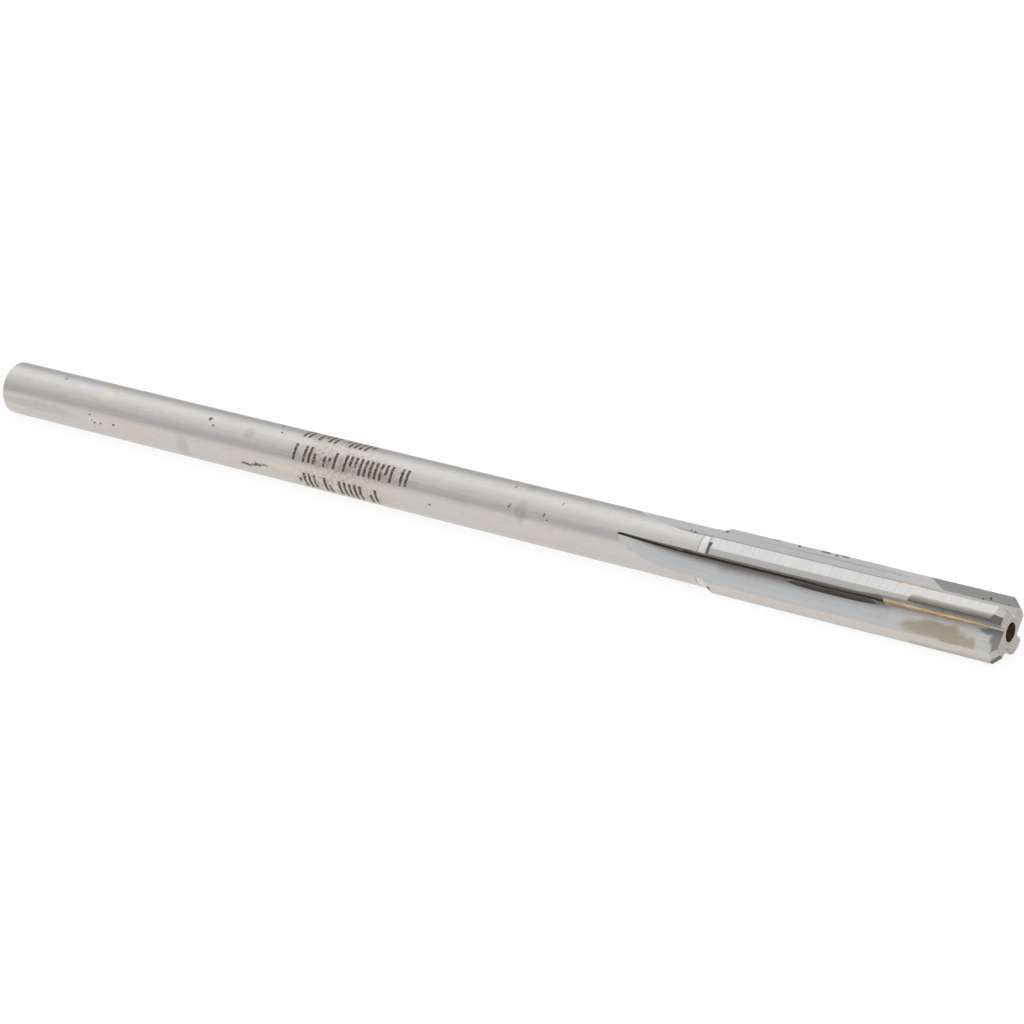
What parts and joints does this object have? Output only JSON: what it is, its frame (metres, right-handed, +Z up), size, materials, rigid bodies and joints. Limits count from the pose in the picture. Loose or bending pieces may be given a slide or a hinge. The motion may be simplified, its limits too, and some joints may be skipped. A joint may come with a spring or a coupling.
{
  "type": "machine reamer",
  "caption": "Straight-shank machine reamer with straight flutes, short chamfer lead and brazed carbide tips.",
  "frame": {"origin": "on the surface that the shank lies on, below the middle of the tool's length", "axes": "+X along the tool's axis towards the cutting end, +Z up from the surface that the tool lies on, +Y to the side"},
  "size_m": [0.1524, 0.007, 0.0071],
  "materials": {
    "tool_steel": "cylindrically ground, bright",
    "carbide": "tungsten carbide, diamond ground",
    "braze": "silver braze, as run"
  },
  "bodies": {
    "root": {"steel_body": "tool_steel", "carbide_tip_1": "carbide", "carbide_tip_2": "carbide", "carbide_tip_3": "carbide", "carbide_tip_4": "carbide", "braze_seam_1": "braze", "braze_seam_2": "braze", "braze_seam_3": "braze", "braze_seam_4": "braze"}
  },
  "joints": []
}
